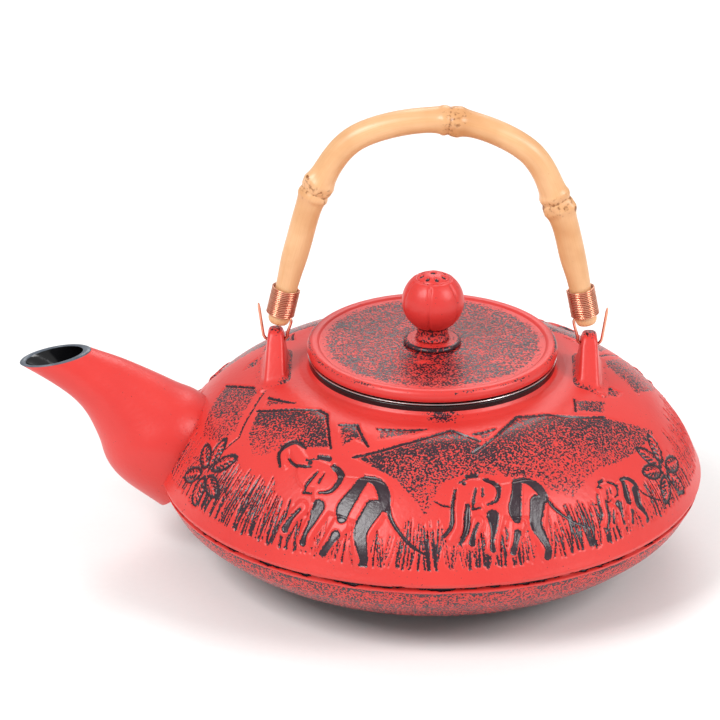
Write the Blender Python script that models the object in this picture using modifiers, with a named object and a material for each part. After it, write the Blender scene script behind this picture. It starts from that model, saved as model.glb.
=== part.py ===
"""Cast iron teapot with an infuser and a bamboo bail handle.

Metres, +Z up. The origin is the middle of the flat foot, on the pot's axis.
The spout points to -X, and the handle stands in the XZ plane and swings about X.
"""
import math

import bmesh
import bpy
from mathutils import Vector

MM = 0.001
COLLECTION = "cast_iron_teapot"
CUTTERS = "cutters"
GAP = 0.3

# Pot, (radius, height) in mm.
POT_STEPS = 48
LID_STEPS = 48
KNOB_STEPS = 32
INFUSER_STEPS = 48
FOOT_RADIUS = 38.5
MOUTH_TOP = 73.0
MOUTH_BORE = 37.8
MOUTH_FOOT = 66.2
COLLAR_OUTSIDE = 42.2
SHOULDER = ((45.5, 69.0), (58.0, 66.4), (75.0, 56.9), (87.3, 43.3), (93.0, 31.6))
GROOVE = ((92.5, 30.4), (91.1, 29.6), (92.2, 28.7))
BOWL = ((91.7, 27.5), (85.8, 19.3), (69.2, 8.6), (40.5, 1.0))
CAVITY = ((40.0, 65.9), (50.0, 64.7), (60.0, 61.2), (73.6, 53.4), (84.5, 41.0), (88.6, 31.0),
          (83.0, 21.8), (67.0, 12.8), (40.0, 5.4), (0.0, 4.4))

# Spout: centre line (x, z), outside radius and bore radius, from inside the pot to past the mouth.
SPOUT = ((-72.0, 25.0, 14.5, 9.0), (-93.0, 41.0, 20.2, 16.4), (-102.0, 50.8, 15.8, 12.4),
         (-111.6, 59.8, 11.3, 8.4), (-124.0, 67.5, 8.3, 6.6), (-147.0, 80.8, 8.0, 6.5))
SPOUT_MOUTH = (-129.4, 71.0)
SPOUT_MOUTH_TILT = math.radians(11.6)

# Ears: (height, half width along X, half width along Y), about x = EAR_X.
EAR_X = 53.4
EAR = ((62.0, 4.9, 17.0), (67.5, 4.2, 13.2), (74.0, 3.4, 8.8), (80.2, 2.7, 4.4), (81.8, 2.2, 2.9),
       (82.6, 1.4, 1.4))
HINGE_Z = 78.2
EAR_HOLE = 1.5

# Lid and knob.
LID_RADIUS = 42.7
LID_BOTTOM = 74.2
LID_FACE = 77.7
LID_CROWN = 78.4
SKIRT_OUTSIDE = 33.2
SKIRT_INSIDE = 30.8
SKIRT_BOTTOM = 70.6
BOSS_BOTTOM = 72.6
SCREW_HOLE = 2.4
COLLAR_RADIUS = 9.8
COLLAR_BOTTOM = LID_FACE + GAP
COLLAR_TOP = 79.5
NECK_RADIUS = 5.8
NECK_BOTTOM = COLLAR_TOP + GAP
BALL_RADIUS = 10.6
BALL_CENTRE = 93.2
KNOB_BORE = 2.3
KNOB_BORE_TOP = 90.0

# Infuser.
FLANGE_OUTSIDE = 42.5
FLANGE_BOTTOM = MOUTH_TOP + GAP
FLANGE_TOP = 73.9
RIM_NECK_OUTSIDE = 35.6
RIM_NECK_INSIDE = 35.0
WALL_OUTSIDE = 34.7
WALL_INSIDE = 34.1
WALL_BOTTOM = 33.0
SHEET = 0.6

# Handle: cane centre line (x, z), with a joint of the bamboo at three places.
CANE = ((-52.7, 84.2), (-49.5, 98.6), (-46.3, 111.8), (-39.5, 134.0), (-25.5, 152.9), (4.0, 159.0),
        (30.8, 148.6), (42.2, 127.6), (47.4, 109.0), (49.8, 98.8), (52.5, 85.4))
CANE_RADIUS = 4.4
CANE_END_RADIUS = 3.7
CANE_JOINTS = (0.30, 0.505, 0.69)
WINDING_START = 3.5
WINDING_TURNS = 15
WINDING_PITCH = 0.66
WINDING_RADIUS = 4.6
WINDING_WIRE = 0.29
HOOK_WIRE = 0.5
HOOK_SEAT = 3.0
HOOK_JOG = 4.3


def clear_scene():
    """Remove everything that a new Blender file holds."""
    for thing in list(bpy.data.objects):
        bpy.data.objects.remove(thing, do_unlink=True)


def make_collection(name, hidden):
    """A collection under the scene's own."""
    group = bpy.data.collections.new(name)
    bpy.context.scene.collection.children.link(group)
    group.hide_render = hidden
    return group


def make_material(name, colour, roughness, metallic):
    """A Principled material with the finish that the piece has."""
    material = bpy.data.materials.new(name)
    material.use_nodes = True
    shader = material.node_tree.nodes["Principled BSDF"]
    shader.inputs["Base Color"].default_value = (*colour, 1.0)
    shader.inputs["Roughness"].default_value = roughness
    shader.inputs["Metallic"].default_value = metallic
    return material


def smooth(points, per_span):
    """A Catmull-Rom curve through points of any number of coordinates."""
    knots = [Vector(p) for p in points]
    knots.insert(0, 2.0 * knots[0] - knots[1])
    knots.append(2.0 * knots[-1] - knots[-2])
    out = []
    for i in range(1, len(knots) - 2):
        a, b, c, d = knots[i - 1:i + 3]
        for step in range(per_span):
            t = step / per_span
            out.append(0.5 * (2.0 * b + (c - a) * t + (2.0 * a - 5.0 * b + 4.0 * c - d) * t * t
                              + (3.0 * b - a - 3.0 * c + d) * t ** 3))
    out.append(knots[-2])
    return out


def link(thing, group):
    """Put an object in one collection only."""
    group.objects.link(thing)
    return thing


def shade_smooth(mesh):
    """Smooth shading for a round piece."""
    for face in mesh.polygons:
        face.use_smooth = True


def turned(name, profile, steps, group, loop=False):
    """A solid of revolution about Z from a profile of (radius, height) in mm."""
    mesh = bpy.data.meshes.new(name)
    verts = [(r * MM, 0.0, z * MM) for r, z in profile]
    edges = [(i, i + 1) for i in range(len(verts) - 1)]
    if loop:
        edges.append((len(verts) - 1, 0))
    mesh.from_pydata(verts, edges, [])
    thing = link(bpy.data.objects.new(name, mesh), group)
    screw = thing.modifiers.new("turn", "SCREW")
    screw.axis = "Z"
    screw.angle = math.tau
    screw.steps = steps
    screw.render_steps = steps
    screw.use_merge_vertices = True
    screw.merge_threshold = 0.00005
    screw.use_smooth_shade = True
    return thing


def rod(name, points, radii, sides, group):
    """A round bar of changing radius along points in mm, with flat ends."""
    curve = bpy.data.curves.new(name, "CURVE")
    curve.dimensions = "3D"
    curve.bevel_depth = MM
    curve.bevel_resolution = sides
    curve.use_fill_caps = True
    spline = curve.splines.new("POLY")
    spline.points.add(len(points) - 1)
    for point, place, radius in zip(spline.points, points, radii):
        point.co = (place[0] * MM, place[1] * MM, place[2] * MM, 1.0)
        point.radius = radius
    spline.use_smooth = True
    return link(bpy.data.objects.new(name, curve), group)


def as_mesh(thing, group):
    """A new mesh object with the shape that an object's modifiers or bevel give it."""
    bpy.context.view_layer.update()
    graph = bpy.context.evaluated_depsgraph_get()
    mesh = bpy.data.meshes.new_from_object(thing.evaluated_get(graph))
    name = thing.name
    bpy.data.objects.remove(thing, do_unlink=True)
    work = bmesh.new()
    work.from_mesh(mesh)
    bmesh.ops.remove_doubles(work, verts=work.verts, dist=0.000005)
    bmesh.ops.recalc_face_normals(work, faces=work.faces)
    work.to_mesh(mesh)
    work.free()
    return link(bpy.data.objects.new(name, mesh), group)


def stack(name, sections, centre_x, corners, group):
    """A loft up Z through rounded-square sections (height, half X, half Y) in mm."""
    work = bmesh.new()
    rings = []
    for height, half_x, half_y in sections:
        ring = []
        for i in range(corners):
            angle = math.tau * (i + 0.5) / corners
            c, s = math.cos(angle), math.sin(angle)
            x = math.copysign(abs(c) ** 0.35, c) * half_x
            y = math.copysign(abs(s) ** 0.35, s) * half_y
            ring.append(work.verts.new(((centre_x + x) * MM, y * MM, height * MM)))
        rings.append(ring)
    for low, high in zip(rings, rings[1:]):
        for i in range(corners):
            j = (i + 1) % corners
            work.faces.new((low[i], low[j], high[j], high[i]))
    work.faces.new(reversed(rings[0]))
    work.faces.new(rings[-1])
    mesh = bpy.data.meshes.new(name)
    work.to_mesh(mesh)
    work.free()
    return link(bpy.data.objects.new(name, mesh), group)


def combine(thing, other, operation):
    """An exact boolean of one object with another."""
    step = thing.modifiers.new(operation.lower(), "BOOLEAN")
    step.operation = operation
    step.solver = "EXACT"
    step.object = other
    other.display_type = "WIRE"
    other.hide_render = True


def box(name, low, high, group):
    """A box between two corners in mm."""
    bpy.ops.mesh.primitive_cube_add(size=1.0)
    thing = bpy.context.object
    thing.name = name
    for vert in thing.data.vertices:
        for k in range(3):
            side = high[k] if vert.co[k] > 0.0 else low[k]
            vert.co[k] = side * MM
    for owner in list(thing.users_collection):
        owner.objects.unlink(thing)
    return link(thing, group)


def pot_outside():
    """The pot's outer outline, from the top of the mouth to the middle of the foot."""
    top = [(0.0, MOUTH_TOP), (COLLAR_OUTSIDE - 0.4, MOUTH_TOP), (COLLAR_OUTSIDE, MOUTH_TOP - 0.4)]
    neck = [(COLLAR_OUTSIDE, 71.0), (COLLAR_OUTSIDE + 0.7, 69.9)]
    shoulder = [tuple(p) for p in smooth(SHOULDER, 3)]
    bowl = [tuple(p) for p in smooth(BOWL, 3)]
    foot = [(FOOT_RADIUS, 0.0), (0.0, 0.0)]
    return top + neck + shoulder + list(GROOVE) + bowl + foot


def pot_inside():
    """The cavity's outline, from above the mouth to the middle of its floor."""
    mouth = [(0.0, MOUTH_TOP + 5.0), (MOUTH_BORE, MOUTH_TOP + 5.0), (MOUTH_BORE, MOUTH_FOOT)]
    return mouth + [tuple(p) for p in smooth(CAVITY, 2)]


def spout_rod(name, which, group):
    """The spout's outside (which = 2) or its bore (which = 3)."""
    path = smooth([(p[0], p[1], p[which]) for p in SPOUT], 3)
    points = [(p[0], 0.0, p[1]) for p in path]
    return as_mesh(rod(name, points, [p[2] for p in path], 8, group), group)


def spout_trim(group):
    """The slanted plane that the spout's mouth is cut on."""
    thing = box("spout_trim", (-40.0, -30.0, 0.0), (14.5, 30.0, 40.0), group)
    for vert in thing.data.vertices:
        x = vert.co.x
        z = vert.co.z
        c, s = math.cos(SPOUT_MOUTH_TILT), math.sin(SPOUT_MOUTH_TILT)
        vert.co.x = SPOUT_MOUTH[0] * MM + x * c - z * s
        vert.co.z = SPOUT_MOUTH[1] * MM + x * s + z * c
    return thing


def make_pot(group, cutters, material):
    """The pot casting: shell, spout and both ears, hollowed and pierced."""
    shell = as_mesh(turned("pot_body", pot_outside(), POT_STEPS, group), group)
    shade_smooth(shell.data)
    spout = spout_rod("spout_outside", 2, cutters)
    combine(spout, spout_trim(cutters), "DIFFERENCE")
    combine(shell, spout, "UNION")
    for side, name in ((-1.0, "ear_left"), (1.0, "ear_right")):
        combine(shell, stack(name, EAR, side * EAR_X, 12, cutters), "UNION")
    cavity = as_mesh(turned("cavity", pot_inside(), POT_STEPS, cutters), cutters)
    combine(shell, cavity, "DIFFERENCE")
    combine(shell, spout_rod("spout_bore", 3, cutters), "DIFFERENCE")
    for side, name in ((-1.0, "hole_left"), (1.0, "hole_right")):
        ends = [((side * EAR_X - 7.0), 0.0, HINGE_Z), ((side * EAR_X + 7.0), 0.0, HINGE_Z)]
        combine(shell, as_mesh(rod(name, ends, [EAR_HOLE] * 2, 4, cutters), cutters), "DIFFERENCE")
    shell.data.materials.append(material)


def make_lid(group, material):
    """The lid: a disc with a bead round its rim, a skirt and a boss for the screw."""
    profile = [(SCREW_HOLE, LID_FACE), (38.6, LID_FACE), (39.3, LID_CROWN - 0.15), (40.2, LID_CROWN),
               (41.3, LID_CROWN - 0.1), (42.2, 77.7), (LID_RADIUS, 76.7), (LID_RADIUS, 75.4),
               (42.3, 74.5), (41.5, LID_BOTTOM), (SKIRT_OUTSIDE, LID_BOTTOM),
               (SKIRT_OUTSIDE, SKIRT_BOTTOM), (SKIRT_INSIDE, SKIRT_BOTTOM), (SKIRT_INSIDE, LID_BOTTOM),
               (9.0, LID_BOTTOM), (8.2, BOSS_BOTTOM), (SCREW_HOLE, BOSS_BOTTOM)]
    thing = turned("lid", profile, LID_STEPS, group, loop=True)
    thing.data.materials.append(material)


def make_knob(group, iron, steel):
    """The knob, its collar, and the screw and washer that hold it from below."""
    collar = [(SCREW_HOLE, COLLAR_TOP), (COLLAR_RADIUS - 0.5, COLLAR_TOP), (COLLAR_RADIUS, COLLAR_TOP - 0.5),
              (COLLAR_RADIUS, COLLAR_BOTTOM), (SCREW_HOLE, COLLAR_BOTTOM)]
    turned("knob_collar", collar, KNOB_STEPS, group, loop=True).data.materials.append(iron)
    start = math.asin(NECK_RADIUS / BALL_RADIUS)
    ball = []
    for i in range(15):
        angle = (math.pi - start) * i / 14
        ball.append((BALL_RADIUS * math.sin(angle), BALL_CENTRE + BALL_RADIUS * math.cos(angle)))
    neck = [(NECK_RADIUS - 0.6, ball[-1][1] - 0.8), (NECK_RADIUS + 0.2, NECK_BOTTOM),
            (KNOB_BORE, NECK_BOTTOM), (KNOB_BORE, KNOB_BORE_TOP), (0.0, KNOB_BORE_TOP)]
    turned("lid_knob", ball + neck, KNOB_STEPS, group).data.materials.append(iron)
    washer = [(SCREW_HOLE, BOSS_BOTTOM - GAP), (5.5, BOSS_BOTTOM - GAP), (5.5, BOSS_BOTTOM - 1.1),
              (SCREW_HOLE, BOSS_BOTTOM - 1.1)]
    turned("knob_washer", washer, 32, group, loop=True).data.materials.append(steel)
    head_top = BOSS_BOTTOM - 1.1 - GAP
    screw = [(0.0, KNOB_BORE_TOP - 1.0), (2.0, KNOB_BORE_TOP - 1.0), (2.0, head_top), (4.2, head_top),
             (4.0, head_top - 1.2), (2.6, head_top - 2.2), (0.0, head_top - 2.6)]
    turned("knob_screw", screw, 24, group).data.materials.append(steel)


def make_infuser(group, steel):
    """The infuser: a flanged rim, a wall with an inward lip, and a bottom that lies on the lip."""
    rim = [(RIM_NECK_INSIDE, FLANGE_TOP), (FLANGE_OUTSIDE, FLANGE_TOP), (FLANGE_OUTSIDE, FLANGE_BOTTOM),
           (RIM_NECK_OUTSIDE, FLANGE_BOTTOM), (RIM_NECK_OUTSIDE, 69.0), (RIM_NECK_INSIDE, 69.0)]
    turned("infuser_rim", rim, INFUSER_STEPS, group, loop=True).data.materials.append(steel)
    wall = [(WALL_INSIDE, FLANGE_TOP), (WALL_OUTSIDE, FLANGE_TOP), (WALL_OUTSIDE, WALL_BOTTOM),
            (31.0, WALL_BOTTOM), (31.0, WALL_BOTTOM + SHEET), (WALL_INSIDE, WALL_BOTTOM + SHEET)]
    turned("infuser_wall", wall, INFUSER_STEPS, group, loop=True).data.materials.append(steel)
    low = WALL_BOTTOM + SHEET + GAP
    base = [(0.0, low + SHEET), (WALL_INSIDE - GAP, low + SHEET), (WALL_INSIDE - GAP, low), (0.0, low)]
    turned("infuser_base", base, INFUSER_STEPS, group).data.materials.append(steel)


def cane_path():
    """The cane's centre line and radius, swollen at each joint and rounded off at its ends."""
    path = smooth(CANE, 5)
    count = len(path) - 1
    points = []
    radii = []
    for i, p in enumerate(path):
        swell = sum(1.25 * math.exp(-((i / count - at) * count / 0.9) ** 2) for at in CANE_JOINTS)
        near_end = min(i, count - i)
        radius = CANE_END_RADIUS if near_end <= 5 else CANE_RADIUS + swell
        points.append((p[0], 0.0, p[1]))
        radii.append(radius)
    radii[0] = 2.8
    radii[-1] = 2.8
    for end, inner in ((0, 1), (-1, -2)):
        a = Vector(points[end])
        b = Vector(points[inner])
        shoulder = tuple(a + (b - a).normalized() * 0.8)
        spot = 1 if end == 0 else len(points) - 1
        points.insert(spot, shoulder)
        radii.insert(spot, CANE_END_RADIUS)
    return points, radii


def cane_end(side):
    """An end of the cane and the direction that it runs in from there."""
    tip, inner = (CANE[0], CANE[1]) if side < 0.0 else (CANE[-1], CANE[-2])
    origin = Vector((tip[0], 0.0, tip[1]))
    along = (Vector((inner[0], 0.0, inner[1])) - origin).normalized()
    inward = Vector((0.0, 1.0, 0.0)).cross(along)
    if inward.x * side > 0.0:
        inward.negate()
    return origin, along, inward


def hook_slot(side, name, group):
    """The square slot that a hook's leg lies in, open to the cane's inner side and its end."""
    origin, along, inward = cane_end(side)
    across = along.cross(inward)
    half = HOOK_WIRE + GAP
    slot = box(name, (HOOK_SEAT - half, -half, -2.0), (8.0, half, 14.0), group)
    for vert in slot.data.vertices:
        x, y, z = vert.co
        vert.co = origin * MM + inward * x + across * y + along * z
    mesh = slot.data
    if (inward.cross(across)).dot(along) < 0.0:
        mesh.flip_normals()
    return slot


def make_cane(group, cutters, material):
    """The cane, with a slot under each winding for the hook's leg."""
    points, radii = cane_path()
    cane = as_mesh(rod("handle_cane", points, radii, 6, group), group)
    shade_smooth(cane.data)
    for side, name in ((-1.0, "slot_left"), (1.0, "slot_right")):
        combine(cane, hook_slot(side, name, cutters), "DIFFERENCE")
    cane.data.materials.append(material)


def make_winding(side, name, group, material):
    """Copper wire wound round one end of the cane."""
    origin, along, inward = cane_end(side)
    across = along.cross(inward)
    per_turn = 8
    points = []
    for i in range(WINDING_TURNS * per_turn + 1):
        angle = math.tau * i / per_turn
        out = inward * math.cos(angle) + across * math.sin(angle)
        climb = WINDING_START + WINDING_PITCH * i / per_turn
        points.append(origin + along * climb + out * WINDING_RADIUS)
    thing = rod(name, points, [WINDING_WIRE] * len(points), 2, group)
    thing.data.materials.append(material)


def make_hook(side, name, group, material):
    """A copper hook: a leg under the winding, a pass through the ear and a free leg."""
    origin, along, inward = cane_end(side)
    x = side * EAR_X
    leg = [origin + inward * HOOK_SEAT + along * run for run in (13.0, 3.0)]
    leg.append(origin + inward * HOOK_JOG + along * 1.6)
    bend = [(x - side * 4.1, 0.0, 80.9), (x - side * 3.9, 0.0, 79.2), (x - side * 3.2, 0.0, 78.4),
            (x - side * 2.2, 0.0, HINGE_Z), (x + side * 2.2, 0.0, HINGE_Z),
            (x + side * 3.3, 0.0, 78.4), (x + side * 4.0, 0.0, 79.3), (x + side * 4.4, 0.0, 81.0),
            (x + side * 5.9, 0.0, 91.4)]
    points = leg + [Vector(p) for p in bend]
    thing = rod(name, points, [HOOK_WIRE] * len(points), 2, group)
    thing.data.materials.append(material)


def main():
    """Build every piece of the teapot."""
    clear_scene()
    pieces = make_collection(COLLECTION, False)
    cutters = make_collection(CUTTERS, True)
    iron = make_material("red_enamelled_cast_iron", (0.70, 0.045, 0.035), 0.45, 0.0)
    steel = make_material("stainless_steel", (0.62, 0.61, 0.60), 0.25, 1.0)
    cane = make_material("bamboo_cane", (0.66, 0.40, 0.17), 0.4, 0.0)
    copper = make_material("copper_wire", (0.80, 0.36, 0.22), 0.25, 1.0)
    make_pot(pieces, cutters, iron)
    make_lid(pieces, iron)
    make_knob(pieces, iron, steel)
    make_infuser(pieces, steel)
    make_cane(pieces, cutters, cane)
    for side, name in ((-1.0, "left"), (1.0, "right")):
        make_winding(side, "winding_" + name, pieces, copper)
        make_hook(side, "hook_" + name, pieces, copper)


main()
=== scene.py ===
# %% [markdown]
# # Cast iron teapot with a bamboo bail handle
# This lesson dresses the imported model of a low, wide teapot. The pot is cast iron, enamelled red and
# rubbed back so that the dark iron shows in the relief. The work goes from the pot outwards: shell and
# relief, spout, ears, lid, knob, infuser rim, cane, copper. Lengths are in millimetres until a mesh is made.

# %% Load the frame
import math

import bmesh
import bpy
import numpy as np
from mathutils import Matrix, Vector


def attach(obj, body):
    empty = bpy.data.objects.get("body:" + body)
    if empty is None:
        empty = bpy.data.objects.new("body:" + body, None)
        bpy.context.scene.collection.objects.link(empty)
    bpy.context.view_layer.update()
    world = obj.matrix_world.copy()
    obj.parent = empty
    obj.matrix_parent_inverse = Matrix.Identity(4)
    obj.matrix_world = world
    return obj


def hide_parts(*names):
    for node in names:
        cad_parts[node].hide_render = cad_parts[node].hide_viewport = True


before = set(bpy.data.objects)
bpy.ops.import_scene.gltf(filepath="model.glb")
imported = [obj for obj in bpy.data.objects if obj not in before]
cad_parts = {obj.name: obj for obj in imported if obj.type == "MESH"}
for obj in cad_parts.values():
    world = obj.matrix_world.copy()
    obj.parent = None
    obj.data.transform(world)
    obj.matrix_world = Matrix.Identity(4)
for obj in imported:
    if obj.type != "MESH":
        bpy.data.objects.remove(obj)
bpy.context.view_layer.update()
MM = 0.001

# %% [markdown]
# ## Shared tools
# A smooth curve through given points gives every outline. Evenly spaced samples along it let the
# relief be placed by its real distance over the iron.

# %% Curves
def smooth(points, per_span=12):
    """A Catmull-Rom curve through points of any number of coordinates."""
    knots = np.array(points, float)
    knots = np.vstack([2 * knots[0] - knots[1], knots, 2 * knots[-1] - knots[-2]])
    out = []
    for i in range(1, len(knots) - 2):
        a, b, c, d = knots[i - 1:i + 3]
        t = np.arange(per_span)[:, None] / per_span
        out.append(0.5 * (2 * b + (c - a) * t + (2 * a - 5 * b + 4 * c - d) * t * t
                          + (3 * b - a - 3 * c + d) * t ** 3))
    return np.vstack(out + [knots[-2:-1]])


def arc_length(points):
    """Distance along a polyline to each of its points."""
    steps = np.linalg.norm(np.diff(np.asarray(points, float), axis=0), axis=1)
    return np.concatenate([[0.0], np.cumsum(steps)])


def at_distance(points, distances):
    """Points of a polyline at the given distances along it."""
    points = np.asarray(points, float)
    along = arc_length(points)
    return np.stack([np.interp(distances, along, axis) for axis in points.T], axis=1)


def dense(points, step):
    """The polyline with extra points, so that no span is longer than step. Corners stay."""
    points = np.asarray(points, float)
    out = [points[:1]]
    for a, b in zip(points[:-1], points[1:]):
        count = max(1, math.ceil(np.linalg.norm(b - a) / step))
        out.append(a + (b - a) * (np.arange(1, count + 1)[:, None] / count))
    return np.vstack(out)


def full_turn(count):
    """Evenly spaced angles round a circle, in radians."""
    return np.arange(count) * 2 * math.pi / count


def ramp(value, start, span):
    """0 up to start, then rising evenly to 1 over the span."""
    return np.clip((value - start) / span, 0, 1)


def tent(value, middle, half):
    """1 at the middle, falling evenly to 0 at half on either side."""
    return np.clip(1 - np.abs(value - middle) / half, 0, 1)


def bell(gap, width):
    """1 where there is no gap, fading smoothly over the width."""
    return np.exp(-(gap / width) ** 2)


def at_least(field, value):
    """Bring a painted field up to a value where it is lower."""
    np.maximum(field, value, out=field)


print("a smooth curve through 3 points has", len(smooth(((0, 0), (1, 1), (2, 0)))), "points")

# %% [markdown]
# Every piece is a grid of points wrapped round an axis or a centre line. One function turns such a grid
# into a closed mesh, with the painted value `iron` on each point: 0 is sound enamel, 1 is bare iron.

# %% Meshes
def paint_points(mesh, name, values, kind="FLOAT", key="value"):
    """Store a value, or a vector, on each point of a mesh."""
    field = mesh.attributes.new(name, kind, "POINT")
    field.data.foreach_set(key, np.asarray(values, np.float32).ravel())


def publish(name, verts, faces, body, materials, sharp=40.0, face_material=None, iron=None):
    """Make one object from points in mm, shade it smooth and put it on its body."""
    mesh = bpy.data.meshes.new(name)
    mesh.from_pydata((np.asarray(verts) * MM).tolist(), [], faces)
    for material in materials:
        mesh.materials.append(material)
    if face_material is not None:
        mesh.polygons.foreach_set("material_index", np.asarray(face_material, np.int32))
    mesh.polygons.foreach_set("use_smooth", np.ones(len(mesh.polygons), bool))
    if iron is not None:
        paint_points(mesh, "iron", iron)
    mesh.set_sharp_from_angle(angle=math.radians(sharp))
    mesh.update()
    thing = bpy.data.objects.new(name, mesh)
    bpy.context.scene.collection.objects.link(thing)
    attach(thing, body)
    print(name, len(verts), "points", len(faces), "faces")
    return thing


def grid_faces(rows, columns, wrap_rows, wrap_columns):
    """Quads of a grid of points, rows by columns, wrapped round either way."""
    last_row = rows if wrap_rows else rows - 1
    last_column = columns if wrap_columns else columns - 1
    i, j = np.meshgrid(np.arange(last_row), np.arange(last_column), indexing="ij")
    i2 = (i + 1) % rows
    j2 = (j + 1) % columns
    quads = np.stack([i * columns + j, i2 * columns + j, i2 * columns + j2, i * columns + j2], axis=-1)
    return quads.reshape(-1, 4)


def end_caps(rows, columns):
    """The two faces that close a tube of rows by columns."""
    return [list(range(columns)), list(range((rows - 1) * columns, rows * columns))[::-1]]


def wrapped(profile, columns):
    """The radius and the height of each (r, z) row, repeated round the columns."""
    return np.repeat(profile[:, :1], columns, axis=1), np.repeat(profile[:, 1:], columns, axis=1)


def around(radius, height, angle):
    """Points in mm, from their radius, height and angle round Z."""
    return np.stack([radius * np.cos(angle), radius * np.sin(angle), height], axis=-1).reshape(-1, 3)


def outward(points):
    """Unit normals of a profile of (r, z), on the left of its direction of travel."""
    slope = np.gradient(np.asarray(points, float), axis=0)
    normal = np.stack([-slope[:, 1], slope[:, 0]], axis=1)
    return normal / np.maximum(np.linalg.norm(normal, axis=1), 1e-9)[:, None]


def turned(name, profile, columns, body, materials, offset=None, iron=None, loop=True,
           row_material=None):
    """A closed turned piece. The profile is (r, z) rows; offset is mm along each row's normal."""
    profile = np.asarray(profile, float)
    rows = len(profile)
    radius, height = wrapped(profile, columns)
    if offset is not None:
        normal = outward(profile)
        radius = radius + normal[:, :1] * offset
        height = height + normal[:, 1:] * offset
    verts = around(radius, height, full_turn(columns))
    quads = grid_faces(rows, columns, loop, True)
    faces = quads.tolist()
    picks = None
    if row_material is not None:
        picks = np.asarray(row_material)[quads[:, 0] // columns].tolist()
    if not loop:
        faces += end_caps(rows, columns)
        if picks is not None:
            picks += [int(row_material[0]), int(row_material[-1])]
    r, z = profile.T
    area = np.sum(r * np.roll(z, -1) - np.roll(r, -1) * z)
    if area < 0:
        faces = [face[::-1] for face in faces]
    return publish(name, verts, faces, body, materials, face_material=picks, iron=iron)


def swept(name, path, radii, sides, body, materials, bumps=None, iron=None, vectors=None):
    """A closed rod along a path in mm. radii are per point; bumps add mm per point and side."""
    path = np.asarray(path, float)
    tangent = np.gradient(path, axis=0)
    tangent /= np.linalg.norm(tangent, axis=1)[:, None]
    side = np.cross(tangent[0], (0.0, 1.0, 0.0))
    if np.linalg.norm(side) < 0.1:
        side = np.cross(tangent[0], (0.0, 0.0, 1.0))
    sides_out = []
    for t in tangent:
        side = side - t * np.dot(side, t)
        side = side / np.linalg.norm(side)
        sides_out.append(side)
    side = np.array(sides_out)
    other = np.cross(tangent, side)
    angle = full_turn(sides)
    reach = np.repeat(np.asarray(radii, float)[:, None], sides, axis=1)
    if bumps is not None:
        reach = reach + bumps
    ring = (side[:, None, :] * np.cos(angle)[None, :, None]
            + other[:, None, :] * np.sin(angle)[None, :, None])
    verts = (path[:, None, :] + ring * reach[:, :, None]).reshape(-1, 3)
    rows = len(path)
    faces = grid_faces(rows, sides, False, True)[:, ::-1].tolist() + end_caps(rows, sides)
    thing = publish(name, verts, faces, body, materials, iron=iron)
    if vectors is not None:
        paint_points(thing.data, "grain", vectors, "FLOAT_VECTOR", "vector")
    return thing


print("a ring of 3 rows by 8 columns has", len(grid_faces(3, 8, False, True)), "faces")

# %% [markdown]
# ## Finishes
# Colours are given as they look, in sRGB, and turned to linear light in one place.

# %% Material tools
RGBA = {"data_type": "RGBA"}
ENAMEL_IOR = 1.5
VARNISH_IOR = 1.5


def linear(code):
    """A linear colour from a hex sRGB code."""
    parts = [int(code[i:i + 2], 16) / 255 for i in (0, 2, 4)]
    return (*[c / 12.92 if c <= 0.04045 else ((c + 0.055) / 1.055) ** 2.4 for c in parts], 1.0)


def connect(tree, node, inputs):
    """Give a node's inputs their values, or the sockets that feed them."""
    for key, value in inputs.items():
        if isinstance(value, bpy.types.NodeSocket):
            tree.links.new(value, node.inputs[key])
        else:
            node.inputs[key].default_value = value


def add(tree, kind, settings=None, inputs=None):
    """Add one node with its settings and inputs. A colour mix has its share at 0, its colours at 6 and 7."""
    made = tree.nodes.new(kind)
    for key, value in (settings or {}).items():
        setattr(made, key, value)
    connect(tree, made, inputs or {})
    return made


def new_material(name):
    """An empty material, its node tree, its shader and the object coordinates."""
    material = bpy.data.materials.new(name)
    material.use_nodes = True
    tree = material.node_tree
    place = add(tree, "ShaderNodeTexCoord").outputs["Object"]
    return material, tree, tree.nodes["Principled BSDF"], place


print("mid grey is", round(linear("808080")[0], 3), "in linear light")

# %% [markdown]
# Rubbed enamel: red enamel was sprayed on the casting, then rubbed back while soft. Iron shows as fine
# stipple, its share set by the painted value `iron`. Enamel is a satin dielectric; the bare iron is
# blackened and waxed, a little glossier, so it gives a purple-grey sheen; its colour also carries painted
# sheen, as lighter purple-grey patches. A noise scale is per metre, so one feature is about 1000 / scale in
# mm: the stipple 0.7, the patches 5, the tone 20, the skin 1.6.

# %% Rubbed enamel over cast iron
STIPPLE_SCALE = 1450.0
PATCH_SCALE = 210.0
TONE_SCALE = 45.0
SKIN_SCALE = 620.0
BARE_FROM = 0.88
BARE_FULL = 0.94


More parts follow.
